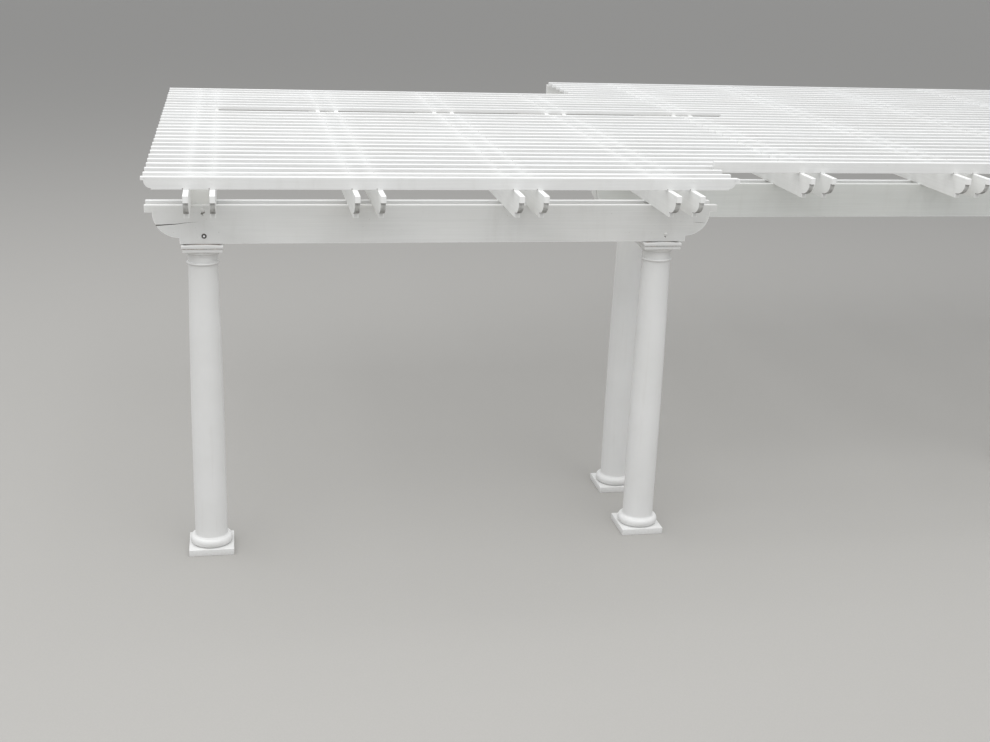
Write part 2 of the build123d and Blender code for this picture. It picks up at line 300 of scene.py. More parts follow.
def sawnPost(name, look):
    # Treated post: long grain plus level saw marks, with darker bands, and painted above one height,
    # where it shows between the rafters
    material, tree, shader = newMaterial(name)
    place = addNode(tree, "TexCoord").outputs["Object"]
    grain = noise(tree, stretched(tree, place, look["grainScale"]), 1.0, 5.0, 0.65)
    saw = noise(tree, stretched(tree, place, look["sawScale"]), 1.0, 1.0)
    colour = mixed(tree, ranged(tree, grain, *look["grainRange"], 0, 1), look["colour"], look["dark"])
    height = addNode(tree, "SeparateXYZ")
    tree.links.new(place, height.inputs[0])
    paintFoot = foot[2] + look["paintFrom"]
    painted = ranged(tree, height.outputs[2], paintFoot, paintFoot + look["paintEdge"], 0, 1)
    colour = mixed(tree, painted, colour, look["paint"])
    tree.links.new(colour, shader.inputs["Base Color"])
    shader.inputs["Roughness"].default_value = look["roughness"]
    relief = bumped(tree, worked(tree, "ADD", grain, saw), look["grain"], look["grainDepth"])
    tree.links.new(relief, shader.inputs["Normal"])
    return material


# Metal and flakes: the more rust share, the more spots of the second colour; bare is how metallic it is
boltSteel = {
    "colour": (0.38, 0.38, 0.37), "rust": (0.10, 0.055, 0.035), "rustShare": 0.06, "bare": 0.85,
    "spotScale": 210.0, "rustRange": (0.62, 0.72), "bareRange": (0.55, 0.70), "roughRange": (0.3, 0.7),
    "roughness": (0.4, 0.8), "relief": 0.4, "reliefDepth": 0.0004, "dulled": 0.1,
}
nailSteel = dict(boltSteel, rustShare=0.16)
# Rusted steel is near-black: partly dark rust, partly painted shade of the recess round the bare bolt.
rustedSteel = dict(boltSteel, colour=(0.10, 0.095, 0.09), rust=(0.05, 0.04, 0.035), rustShare=0.12, bare=0.2)
flakedPaint = dict(boltSteel, colour=(0.20, 0.19, 0.17), rust=(0.07, 0.06, 0.05), rustShare=0.05, bare=0.0)
# The zinc head is near-white: light zinc with a painted highlight.
zincHeadHighlight = dict(boltSteel, colour=(0.92, 0.93, 0.94), rust=(0.55, 0.53, 0.50), rustShare=0.0, bare=0.1)
coatedSteel = dict(boltSteel, colour=(0.78, 0.78, 0.76), rust=(0.07, 0.055, 0.045), rustShare=-0.01, bare=0.0)


def weatheredSteel(name, look):
    # Two colours in fine spots; where the spots of rust stand, the metal's shine falls to its dulled share
    material, tree, shader = newMaterial(name)
    place = addNode(tree, "TexCoord").outputs["Object"]
    spots = noise(tree, place, look["spotScale"], 4.0, 0.65)
    rustFrom, rustTo = (limit - look["rustShare"] for limit in look["rustRange"])
    bareFrom, bareTo = (limit - look["rustShare"] for limit in look["bareRange"])
    colour = mixed(tree, ranged(tree, spots, rustFrom, rustTo, 0, 1), look["colour"], look["rust"])
    metal = ranged(tree, spots, bareFrom, bareTo, look["bare"], look["bare"] * look["dulled"])
    tree.links.new(colour, shader.inputs["Base Color"])
    tree.links.new(ranged(tree, spots, *look["roughRange"], *look["roughness"]), shader.inputs["Roughness"])
    tree.links.new(metal, shader.inputs["Metallic"])
    tree.links.new(bumped(tree, spots, look["relief"], look["reliefDepth"]), shader.inputs["Normal"])
    return material


boardMaterial = paintedWood("boardPaint", boardPaint)
rafterMaterial = paintedWood("litRafterPaint", litRafterPaint)
slatMaterial = paintedWood("litSlatPaint", litSlatPaint)
trimMaterial = paintedWood("litTrimPaint", litTrimPaint)
olderShadedMaterial = paintedWood("olderShadedPaint", olderShadedPaint)
columnMaterial = paintedColumn("columnPaint", columnPaint)
postMaterial = sawnPost("postWood", postWood)
boltMaterial = weatheredSteel("boltSteel", boltSteel)
nailMaterial = weatheredSteel("nailSteel", nailSteel)
rustedMaterial = weatheredSteel("rustedSteel", rustedSteel)
flakedMaterial = weatheredSteel("flakedPaint", flakedPaint)
zincMaterial = weatheredSteel("zincHeadHighlight", zincHeadHighlight)
coatedMaterial = weatheredSteel("coatedSteel", coatedSteel)
print("materials made")


# Helpers for meshes
def joined(parts):
    # Surfaces put one after another: the corners of each one's faces count on from the points before it.
    # Grain is a place in the wood, tone one number a board, edge 1 on eased edges that take a painted
    # highlight, grime 1 where grime, joint colour and painted shade darken creases and curved ends.
    keys = ("points", "grain", "tone", "edge", "grime")
    whole = {key: np.concatenate([part[key] for part in parts]) for key in keys}
    whole["faces"] = []
    start = 0
    for part in parts:
        whole["faces"] += [[corner + start for corner in face] for face in part["faces"]]
        start += len(part["points"])
    return whole


def unmarked(points, faces):
    # A surface with no tone, painted edge highlight, or grime and painted shade of its own
    nothing = dict.fromkeys(("tone", "edge", "grime"), np.zeros(len(points)))
    return {"points": points, "faces": faces, "grain": points, **nothing}


def outwards(points, faces):
    # Six times the volume is the sum of the triple products of all faces' triangles, seen from the middle;
    # where it is below nothing, the faces point inwards and are turned round
    fans = np.array([(face[0], *pair) for face in faces for pair in zip(face[1:-1], face[2:])])
    a, b, c = (points - points.mean(0))[fans].transpose(1, 0, 2)
    return faces if (a * np.cross(b, c)).sum() > 0 else [face[::-1] for face in faces]


def gridFaces(rings, around, closed):
    # Four-sided faces between neighbouring rings; every ring closes on itself
    last = rings if closed else rings - 1
    i, j = np.meshgrid(np.arange(last), np.arange(around), indexing="ij")
    following, beside = (i + 1) % rings, (j + 1) % around
    corners = [i * around + j, i * around + beside, following * around + beside, following * around + j]
    return np.stack(corners, -1).reshape(-1, 4).tolist()


def tubeFaces(rings, around):
    # The faces between the rings of an open tube, and one face over each of its ends
    last = (rings - 1) * around
    return gridFaces(rings, around, False) + [list(range(around))[::-1], list(range(last, last + around))]


def putPiece(name, part, material, nodes=(), smooth=35):
    # One object in the frame from a surface: its points moved by the foot, its values as attributes,
    # and smooth but for edges sharper than an angle
    mesh = bpy.data.meshes.new(name)
    mesh.from_pydata((part["points"] + foot).tolist(), [], part["faces"])
    for key in ("tone", "edge", "grime"):
        mesh.attributes.new(key, "FLOAT", "POINT").data.foreach_set("value", part[key].astype(np.float32))
    grain = mesh.attributes.new("grain", "FLOAT_VECTOR", "POINT")
    grain.data.foreach_set("vector", part["grain"].astype(np.float32).ravel())
    mesh.shade_smooth()
    mesh.set_sharp_from_angle(angle=np.radians(smooth))
    mesh.materials.append(material)
    mesh.update()
    piece = bpy.data.objects.new(name, mesh)
    scene.collection.objects.link(piece)
    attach(piece, "root")
    if nodes:
        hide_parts(*nodes)


# Columns: radii grow outwards from the collar's inside, and heights from the floor and from the seat
# between the two slabs of the capital
column = {
    "count": 5, "collarInside": 0.099495, "wall": 0.007, "inset": 0.0008, "taper": 0.0167, "straight": 0.76,
    "plinthMargin": 0.0085, "plinth": 0.051, "torusOut": 0.0385, "bulge": 0.028, "torus": 0.068,
    "filletOut": 0.0095, "fillet": 0.003, "flare": 0.008, "collar": 0.048, "ringOut": 0.013, "ring": 0.019,
    "ringShoulder": 0.0095, "ringFlare": 0.024, "flareBend": 1.6, "ringGrime": 0.34, "bandOut": 0.009,
    "band": 0.015, "bandCreaseShade": 0.2, "quarterOut": 0.0235, "quarter": 0.025, "quarterTopShade": 0.45,
    "lowerMargin": 0.004, "lowerSlab": 0.030, "upperMargin": 0.006, "upperSlab": 0.0174,
    "postHole": 0.0712, "holeGrime": 0.8, "fit": 0.0004, "ease": 0.003, "footEase": 0.0015,
    "slabEase": 0.0021, "arris": 0.001, "lip": 0.002, "crown": (0.0075, 0.0078, 0.007, 0.006, 0.0072),
    # degrees from which the quarter round takes painted shade, and over which the ring's painted shade fades
    "quarterShadeFrom": 75, "ringGrimeOver": 60,
    # the lower slab's side above its eased edge: how far out, how high above the seat, and its grime: joint
    # colour with painted shade in the groove and in a band under the upper slab's overhang
    "slabSide": ((0, -0.0155, 0), (-0.0012, -0.0145, 0.25), (-0.0012, -0.0135, 0.25), (0, -0.0125, 0),
                 (0, -0.0065, 0), (0, -0.0050, 0.7), (0, 0, 0.9)),
    # the upper slab's top, as a share of its half width, and its painted shade where it runs in under the
    # beam
    "slabTop": ((0.92, 0.08), (0.81, 0.6)),
}
collarRadius = column["collarInside"] + column["wall"]
neckRadius = collarRadius + column["inset"]
shaftRadius = neckRadius + column["taper"]
columnPlaces = [
    (*nodeMiddle(f"column_{number}_base")[:2], nodeBox(f"column_{number}_capital")[1][2])
    for number in range(1, column["count"] + 1)
]

# Directions round a column, in degrees for each quarter: along a square's side, and round its corner
sideTurn = np.linspace(-44, 44, 23)
cornerTurn = np.linspace(44.4, 45.6, 5)
turn = np.radians(np.concatenate([np.append(sideTurn, cornerTurn) + 90 * quarter for quarter in range(4)]))
direction = np.stack([np.cos(turn), np.sin(turn)], -1)
cornerShare = 1 - np.tan(np.radians(cornerTurn[0]))


def circle(radius):
    # Cosine and sine of every direction, times the radius
    return direction * radius


def square(half):
    # A square path met by the same directions, its corners rounded between the last of them
    path = direction / np.abs(direction).max(1, keepdims=True) * half
    inner = half * (1 - cornerShare)
    centre = np.clip(path, -inner, inner)
    away = path - centre
    reach = np.linalg.norm(away, axis=1, keepdims=True)
    rounded = centre + away / np.maximum(reach, 1e-9) * half * cornerShare
    atCorner = (np.abs(path) > inner + 1e-6).all(1, keepdims=True)
    return np.where(atCorner, rounded, path)


def easedEdge(half, z, ease, rising):
    # A quarter round on the rim of a square slab: in by one less the cosine, and up or down by one less
    # the sine, from its side inwards
    sign = 1 if rising else -1
    angles = np.radians([0, 30, 60, 90])
    return [(square(half - ease * (1 - np.cos(a))), z - sign * ease * (1 - np.sin(a))) for a in angles]


def stackedRings(rings):
    # A closed surface: rings of the same number of points, each at its height and with its grime and
    # painted shade, the last joined to the first
    points = np.concatenate([np.column_stack([ring[0], np.full(len(turn), ring[1])]) for ring in rings])
    grime = np.repeat([ring[2] if len(ring) > 2 else 0.0 for ring in rings], len(turn))
    return points, gridFaces(len(rings), len(turn), True), grime


def makeBase(size):
    # Square plinth; torus whose radius swells by the cosine while it climbs by the sine; fillet; and a
    # flare that comes in by the sine while it climbs by one less the cosine
    bore = shaftRadius + size["fit"]
    torus = shaftRadius + size["torusOut"]
    fillet = shaftRadius + size["filletOut"]
    half = torus + size["plinthMargin"]
    torusTop = size["plinth"] + size["torus"]
    filletTop = torusTop + size["fillet"]
    shoulder = fillet - size["arris"]
    flareIn = bore + size["lip"]
    rings = [(circle(bore), 0)]
    rings += easedEdge(half, 0, size["footEase"], False)[::-1]
    rings += easedEdge(half, size["plinth"], size["ease"], True)
    for angle in np.radians(np.linspace(-90, 90, 17)):
        radius = torus - size["bulge"] * (1 - np.cos(angle))
        rings.append((circle(radius), size["plinth"] + size["torus"] * (1 + np.sin(angle)) / 2))
    rings += [(circle(fillet), torusTop), (circle(fillet), filletTop - size["arris"])]
    rings.append((circle(shoulder), filletTop))
    for angle in np.radians(np.linspace(0, 90, 8))[1:]:
        radius = flareIn + (shoulder - flareIn) * (1 - np.sin(angle))
        rings.append((circle(radius), filletTop + size["flare"] * (1 - np.cos(angle))))
    rings.append((circle(bore), filletTop + size["flare"]))
    return stackedRings(rings)


def makeShaft(size, seat):
    # Hollow shell: straight, then thinner by the taper times the square of the height's share, then out
    # by a power of the share to the ring's shoulder, round the ring's half circle, and up the collar
    collarFoot = seat - size["lowerSlab"] - size["quarter"] - size["band"] - size["collar"]
    ringFoot = collarFoot - size["ring"]
    neckHeight = ringFoot - size["ringFlare"]
    shoulder = collarRadius + size["ringOut"] - size["ringShoulder"]
    straight, wall, inside = size["straight"], size["wall"], size["collarInside"]
    rings = [(circle(shaftRadius), 0), (circle(shaftRadius), straight * 0.5)]
    for share in np.linspace(0, 1, 22):
        radius = shaftRadius - size["taper"] * share ** 2
        rings.append((circle(radius), straight + share * (neckHeight - straight)))
    for share in np.linspace(0, 1, 6)[1:]:
        radius = neckRadius + (shoulder - neckRadius) * share ** size["flareBend"]
        rings.append((circle(radius), neckHeight + size["ringFlare"] * share))
    for degrees in np.linspace(-90, 90, 9):
        angle = np.radians(degrees)
        # painted shade under the ring, strongest at its underside and fading out over the given degrees
        under = np.clip(-degrees / size["ringGrimeOver"], 0, 1) * size["ringGrime"]
        radius = shoulder + size["ringShoulder"] * np.cos(angle)
        rings.append((circle(radius), ringFoot + size["ring"] * (1 + np.sin(angle)) / 2, under))
    rings += [(circle(collarRadius), collarFoot), (circle(collarRadius), seat), (circle(inside), seat)]
    rings += [(circle(inside), ringFoot), (circle(neckRadius - wall), neckHeight)]
    rings += [(circle(shaftRadius - wall), straight), (circle(shaftRadius - wall), 0)]
    return stackedRings(rings)


def makeCapital(size, seat, crown):
    # Band; quarter round that goes out by the sine while it climbs by one less the cosine; and two square
    # slabs, the upper one crowned by one less the square of the way out to its nearer side
    bore = collarRadius + size["fit"]
    band = collarRadius + size["bandOut"]
    half = band + size["quarterOut"] + size["lowerMargin"]
    wide = half + size["upperMargin"]
    slabFoot = seat - size["lowerSlab"]
    bandTop = slabFoot - size["quarter"]
    bandFoot = bandTop - size["band"]
    top = seat + size["upperSlab"]
    rings = [(circle(bore), bandFoot), (circle(band - size["arris"]), bandFoot)]
    # painted shade in the crease at the top of the band
    rings += [(circle(band), bandFoot + size["arris"]), (circle(band), bandTop, size["bandCreaseShade"])]
    for degrees in np.linspace(0, 90, 10):
        angle = np.radians(degrees)
        # painted shade under the lower slab, on the top of the quarter round
        grime = size["quarterTopShade"] if degrees > size["quarterShadeFrom"] else 0
        radius = band + size["quarterOut"] * np.sin(angle)
        rings.append((circle(radius), bandTop + size["quarter"] * (1 - np.cos(angle)), grime))
    rings += easedEdge(half, slabFoot, size["slabEase"], False)[::-1]
    rings += [(square(half + out), seat + rise, grime) for out, rise, grime in size["slabSide"]]
    # the joint between the slabs, in joint colour with painted shade
    rings += [(square(half + size["arris"]), seat, 1)]
    rings += easedEdge(wide, seat, size["footEase"], False)[::-1] + easedEdge(wide, top, size["ease"], True)
    rings += [(square(wide * share), top, grime) for share, grime in size["slabTop"]]
    hole = square(size["postHole"])
    # the post hole's rim on the top, under the beam: grime and painted shade
    rings += [(hole, top, size["holeGrime"]), (hole, seat), (circle(bore), seat)]
    points, faces, grime = stackedRings(rings)
    onTop = np.clip((points[:, 2] - seat) / size["upperSlab"], 0, 1)
    nearest = np.abs(points[:, :2]).min(1) / wide
    points[:, 2] += onTop * crown * (1 - nearest ** 2)
    return points, faces, grime


def columnPart(surface, x, y, tone):
    # A column's surface moved to its place, with grain counted from the column's own foot
    points, faces, grime = surface
    return {
        "points": points + (x, y, 0), "faces": outwards(points, faces), "grain": points,
        "tone": np.full(len(points), tone), "edge": np.zeros(len(points)), "grime": grime,
    }


for number, (x, y, top) in enumerate(columnPlaces, 1):
    seat = top - column["upperSlab"]
    forms = {
        "base": makeBase(column),
        "shaft": makeShaft(column, seat),
        "capital": makeCapital(column, seat, column["crown"][number - 1]),
    }
    for form, surface in forms.items():
        node = f"column_{number}_{form}"
        part = columnPart(surface, x, y, chance.random())
        putPiece(node + "_painted", part, columnMaterial, [node], 40)
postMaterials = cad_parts["inner_posts"].data.materials
postMaterials.clear()
postMaterials.append(postMaterial)
print("columns made")

# Boards: the roof is laid out level and turned about the top rear edge of the first beam
board = {
    "thickness": 0.038, "beam": 0.286, "rafter": 0.184, "trim": 0.089, "ease": 0.003,
    "lean": 0.0015, "spacing": 0.45, "grainShift": 40,
}
# a board's rounded end: how far in each ring stands and how round it is, both in eases
roundedEnd = {"in": (0.08, 0.45, 1.0), "swell": (0.38, 0.835, 1.0)}
# how fast grime and painted shade grow along a curve, what the painted shadow under the step fades to,
# and a point's share of the heel
endShade = {"bend": 1.1, "fade": 0.6, "heel": 0.85}
# shaped ends: a nose, a step back, a quarter ellipse with its run and drop, and a heel that is left
beamEnd = {"nose": 0.056, "step": 0.053, "run": 0.186, "drop": 0.186}
# each shaped end's grime and painted shade: how strong on the curve, the angle it starts from, and the
# painted shadow under the step
beamEnd |= {"grime": 0.15, "grimeFrom": 60, "underStep": 0.15}
rafterEnd = {"nose": 0.050, "step": 0.022, "run": 0.130, "drop": 0.098}
rafterEnd |= {"grime": 1.15, "grimeFrom": -24, "underStep": 0.85}
trimEnd = {"nose": 0.026, "step": 0.020, "run": 0.048, "drop": 0.054}
trimEnd |= {"grime": 0.2, "grimeFrom": 60, "underStep": 0.2}
slope = 0.0125
cosTilt, sinTilt = np.array([1, slope]) / np.hypot(1, slope)
tiltY, tiltZ = nodeBox("beam_a_rear")[1][1:]
seatTop = tiltZ + board["rafter"]
levelAxes = [(1, 0, 0), (0, 1, 0), (0, 0, 1)]
roofAxes = [(1, 0, 0), (0, cosTilt, sinTilt), (0, -sinTilt, cosTilt)]
rafterAxes = [(0, cosTilt, sinTilt), (1, 0, 0), (0, -sinTilt, cosTilt)]


def tiltedPoint(x, y, z):
    # A point turned about the tilt line: back and rise from it, each by the cosine and sine of the slope
    back, rise = y - tiltY, z - tiltZ
    return np.array([x, tiltY + back * cosTilt - rise * sinTilt, tiltZ + back * sinTilt + rise * cosTilt])


def startOutline(height, ease, shape):
    # Lower edge from the board's end inwards: rows of distance along, height, roundness, grime and shade.
    # A shaped end goes in by one less the cosine and down by the sine, then down its heel, with grime and
    # painted shade that grow along the curve as it turns to face down, and a painted shadow under the step.
    ends, swell = np.array(roundedEnd["in"]) * ease, np.array(roundedEnd["swell"])
    nothing = np.zeros(len(ends))
    if shape is None:
        return np.stack([ends, nothing, swell, nothing])
    degrees = np.linspace(0, 90, 13)
    along = shape["step"] + shape["run"] * (1 - np.cos(np.radians(degrees)))
    up = height - shape["nose"] - shape["drop"] * np.sin(np.radians(degrees))
    downTheCurve = np.clip((degrees - shape["grimeFrom"]) / (90 - shape["grimeFrom"]), 0, 1)
    grime = downTheCurve ** endShade["bend"] * shape["grime"]
    # the painted shadow under the step, on the curve's first two rings
    grime[:2] = shape["underStep"], shape["underStep"] * endShade["fade"]
    along = np.append(along, along[[-1, -1]])
    up = np.append(up, [up[-1] * endShade["heel"], 0])
    grime = np.append(grime, [0, 0])
    return np.stack([
        np.append(ends, along), np.append(nothing + height - shape["nose"], up),
        np.append(swell, np.ones(len(along))), np.append(nothing, grime),
    ])


def inwardNormals(along, up):
    # Mitred normals of the lower edge, which point up into the board: the sum of both neighbours' normals
    # over one more than their dot product
    course = np.diff(np.stack([along, up], -1), axis=0)
    course /= np.linalg.norm(course, axis=1, keepdims=True)
    normal = np.stack([-course[:, 1], course[:, 0]], -1)
    before = np.vstack([normal[:1], normal])
    after = np.vstack([normal, normal[-1:]])
    return (before + after) / (1 + (before * after).sum(1, keepdims=True))


def boardSurface(length, height, thickness, ease, first=None, second=None, spacing=board["spacing"]):
    # A rounded rectangle carried along the board, its lower edge following the shaped ends.
    # Columns of the result: along, through and up, in the board's own directions.
    near, far = startOutline(height, ease, first), startOutline(height, ease, second)
    nearEnd, farEnd = near[0, -1], far[0, -1]
    count = max(2, int((length - nearEnd - farEnd) / spacing))
    middle = np.linspace(nearEnd, length - farEnd, count + 1)[1:-1]
    plain = np.stack([middle, np.zeros(len(middle)), np.ones(len(middle)), np.zeros(len(middle))])
    far[0] = length - far[0]
    along, up, swell, dirt = np.hstack([near, plain, far[:, ::-1]])
    # the upper edge's points are spread a little, because a heel below has several at one distance
    nearLean = board["lean"] * np.arange(near.shape[1]) * (first is not None)
    farLean = board["lean"] * np.arange(far.shape[1]) * (second is not None)
    between = nearLean[-1] * (1 - middle / length) - farLean[-1] * (middle / length)
    upper = along + np.concatenate([nearLean, between, -farLean[::-1]])
    # the section's lower half: inset in eases, part of the roundness, place through the board, its part of
    # the roundness, and whether it is on an edge
    half = np.sqrt(0.5)
    lowerHalf = [
        (3, 0, 0, -1, 0), (1, 0, 0, -1, 1), (1, half, 0, -half, 1), (1, 1, 0, 0, 1), (1, 1, 1, 0, 0),
        (1, 1, 2, 0, 0), (1, 1, 3, 0, 1), (1, half, 3, half, 1), (1, 0, 3, 1, 1), (3, 0, 3, 1, 0),
    ]
    section = [(0, *corner) for corner in lowerHalf] + [(1, *corner) for corner in lowerHalf[::-1]]
    onTop, eases, rounded, place, sideways, onEdge = np.array(section, float).T
    across = np.array([ease, 3 * ease, thickness - 3 * ease, thickness - ease])[place.astype(int)]
    radius = (swell * ease)[:, None]
    inset = eases * ease - radius * rounded
    inward = inwardNormals(along, up)
    points = np.stack([
        np.where(onTop > 0, upper[:, None], along[:, None] + inward[:, :1] * inset),
        across + radius * sideways,
        np.where(onTop > 0, height - inset, up[:, None] + inward[:, 1:] * inset),
    ], -1).reshape(-1, 3)
    # grime and painted shade on the bottom face's points only
    grime = dirt[:, None] * ((onTop == 0) & (rounded > 0.5))
    return points, tubeFaces(len(along), len(section)), np.tile(onEdge, len(along)), grime.ravel()


def laidBoard(surface, corner, axes, length, bow=0.0, sway=0.0):
    # A board laid from its corner along its three directions; it bows and sways by half a sine wave
    points, faces, edge, grime = surface
    wave = np.sin(np.pi * points[:, 0] / length)
    placed = corner + (points + np.outer(wave, (0, sway, bow))) @ np.array(axes)
    return {
        "points": placed, "faces": outwards(placed, faces),
        "grain": points + chance.uniform(0, board["grainShift"], 3),
        "tone": np.full(len(points), chance.random()), "edge": edge, "grime": grime,
    }


beams = {
    "beam_a_front": (boardMaterial, beamEnd, beamEnd), "beam_a_rear": (trimMaterial, beamEnd, beamEnd),
    "beam_b_front_left": (olderShadedMaterial, beamEnd, None), "beam_b_front_right": (olderShadedMaterial, None, beamEnd),
    "beam_b_rear_left": (trimMaterial, beamEnd, None), "beam_b_rear_right": (trimMaterial, None, beamEnd),
}
for name, (paint, first, second) in beams.items():
    low, high = nodeBox(name)
    length = high[0] - low[0]
    surface = boardSurface(length, board["beam"], board["thickness"], board["ease"], first, second)
    putPiece(name + "_painted", laidBoard(surface, low, levelAxes, length), paint, [name])
print("beams made")

# Rafters: where each section's start before the roof is tilted, and how far a pair stands apart
rafters = {"front": {"a": -0.700, "b": 0.035}, "count": {"a": 4, "b": 6}, "pairOffset": 0.070, "sway": 0.003}
rafterPlaces = {
    letter: [nodeMiddle(f"rafters_{letter}_{number}")[0] for number in range(1, count + 1)]
    for letter, count in rafters["count"].items()
}
for letter, places in rafterPlaces.items():
    corner = tiltedPoint(0, rafters["front"][letter], tiltZ)
    wall = nodeBox("ledger_" + letter)[0][1]
    length = (wall - corner[1]) / cosTilt
    surface = boardSurface(length, board["rafter"], board["thickness"], board["ease"], rafterEnd)
    surface[0][:, 0] *= 1 - slope * surface[0][:, 2] / length  # the wall end is cut plumb
    for number, x in enumerate(places, 1):
        parts = []
        for left in (x - rafters["pairOffset"] - board["thickness"], x + rafters["pairOffset"]):
            sway = chance.uniform(-rafters["sway"], rafters["sway"])
            parts.append(laidBoard(surface, corner + (left, 0, 0), rafterAxes, length, 0, sway))
        node = f"rafters_{letter}_{number}"
        putPiece(node + "_painted", joined(parts), rafterMaterial, [node])
print("rafters made")

for name in ("ledger_a", "ledger_b"):
    low, high = nodeBox(name)
    length = high[0] - low[0]
    surface = boardSurface(length, board["rafter"], board["thickness"], board["ease"])
    part = laidBoard(surface, low, levelAxes, length)
    putPiece(name + "_painted", part, boardMaterial, [name])

# Front boards: ends and faces of each section's, and where lengths of board and slat meet on a rafter
trim = {"leftA": -0.391, "rightA": 3.906, "frontA": -0.475, "leftB": 3.981, "rightB": 12.024, "frontB": 0.262}
joints = {"left": (4.712, 4.714), "right": (8.762, 8.764)}
frontBoards = {
    "front_board_a": (trim["leftA"], trim["rightA"], trim["frontA"], trimEnd, trimEnd),
    "front_board_b_left": (trim["leftB"], joints["right"][0], trim["frontB"], None, None),
    "front_board_b_right": (joints["right"][1], trim["rightB"], trim["frontB"], None, trimEnd),
}
for name, (start, end, y, first, second) in frontBoards.items():
    surface = boardSurface(end - start, board["trim"], board["thickness"], board["ease"], first, second)
    part = laidBoard(surface, tiltedPoint(start, y, seatTop), roofAxes, end - start)
    putPiece(name + "_painted", part, trimMaterial, [name])
print("ledgers and front boards made")

# Slats: rows are counted from the front, and one of them has a length missing
slat = {
    "side": 0.038, "sunk": 0.0005, "ease": 0.0022, "pitch": 0.1905, "spacing": 0.6, "firstY": -0.222,
    "left": -0.4018, "rightA": 4.020, "rightB": 12.022, "cornerX": 3.981, "firstShort": 0.036,
    "sawnLeft": 0.004, "sawnRight": 0.006, "uneven": 0.0015, "sag": 0.0012, "sway": 0.002,
}
rows = {"front": range(1, 5), "toWallA": range(5, 29), "toWallB": range(5, 35), "corner": range(29, 35)}
missing = {"row": 20, "from": 0.084, "to": 5.182}
slatLengths = {
    "slats_front": (slat["left"], slat["rightA"], rows["front"]),
    "slats_left": (slat["left"], joints["left"][0], rows["toWallA"]),
    "slats_middle": (joints["left"][1], joints["right"][0], rows["toWallB"]),
    "slats_right": (joints["right"][1], slat["rightB"], rows["toWallB"]),
    "slats_corner": (slat["cornerX"], joints["left"][0], rows["corner"]),
}


def rowFront(row):
    # The front face of a row: one pitch further back for each row after the first
    return slat["firstY"] + (row - 1) * slat["pitch"]


def slatEnds(name, start, end, row):
    # Both ends of a slat: outer ones are sawn by hand, so they differ by a few millimetres, the first slat
    # starts later, and the lengths beside the missing one stop at it
    if start == slat["left"]:
        start += chance.uniform(0, slat["sawnLeft"]) + (slat["firstShort"] if row == 1 else 0)
    if end in (slat["rightA"], slat["rightB"]):
        end -= chance.uniform(0, slat["sawnRight"])
    if row == missing["row"] and name == "slats_left":
        end = missing["from"]
    if row == missing["row"] and name == "slats_middle":
        start = missing["to"]
    return start, end


def laidSlat(start, end, row):
    # One slat on the rafters, a little uneven in its row and sagging a little
    y = rowFront(row) + chance.uniform(-slat["uneven"], slat["uneven"])
    surface = boardSurface(end - start, slat["side"], slat["side"], slat["ease"], spacing=slat["spacing"])
    sag, sway = chance.uniform(-slat["sag"], 0), chance.uniform(-slat["sway"], slat["sway"])
    return laidBoard(surface, tiltedPoint(start, y, seatTop - slat["sunk"]), roofAxes, end - start, sag, sway)


for name, (start, end, numbers) in slatLengths.items():
    parts = [laidSlat(*slatEnds(name, start, end, row), row) for row in numbers]
    putPiece(name + "_painted", joined(parts), slatMaterial, [name])
print("slats made")

# Heads of bolts, screws and nails: profiles are radius against height above the wood
profiles = {
    "domed": [(0.0112, -0.001), (0.0120, 0.001), (0.0114, 0.0028), (0.0096, 0.0050), (0.0065, 0.0066),
              (0.0028, 0.0074)],
    "bareRing": [(0.0178, -0.001), (0.0184, 0.0012), (0.0175, 0.0034), (0.0135, 0.0044), (0.0075, 0.0040)],
    "bareHead": [(0.0072, 0.002), (0.0074, 0.0065), (0.0064, 0.0088), (0.0038, 0.0100), (0.0015, 0.0104)],
    "washer": [(0.019, -0.001), (0.019, 0.003), (0.0185, 0.0035)],
    "nut": [(0.0125, 0.003), (0.0128, 0.004), (0.0128, 0.0125), (0.0118, 0.0135)],
    "thread": [(0.0078, 0.003), (0.0078, 0.020), (0.0066, 0.0215)],
    "screw": [(0.0040, -0.0008), (0.0042, 0.0000), (0.0030, 0.0004)],
    "nail": [(0.0035, -0.0008), (0.0037, 0.0004), (0.0026, 0.0009)],
    "lag": [(0.0085, -0.001), (0.0090, 0.001), (0.0090, 0.0065), (0.0080, 0.0075)],
}


def stud(profile, sides, upright=False, spin=0.0):
    # A small turned or many-sided head: the profile's radius times the cosine and sine of each side's
    # angle, facing the front, or upwards where it is upright
    angles = np.linspace(0, 2 * np.pi, sides, endpoint=False) + spin
    radius, rise = np.array(profiles[profile]).T
    aside, across = np.outer(radius, np.cos(angles)).ravel(), np.outer(radius, np.sin(angles)).ravel()
    out = np.repeat(rise, sides)
    points = np.column_stack([aside, across, out] if upright else [aside, -out, across])
    return points, outwards(points, tubeFaces(len(radius), sides))


def setOut(head, places, back=False):
    # The same head at every place, and turned about to face the house where asked
    points, faces = head
    if back:
        points = points * (-1, -1, 1)
    every = (np.array(places, float)[:, None, :] + points[None]).reshape(-1, 3)
    steps = (np.arange(len(places)) * len(points)).tolist()
    return unmarked(every, [[corner + step for corner in face] for step in steps for face in faces])


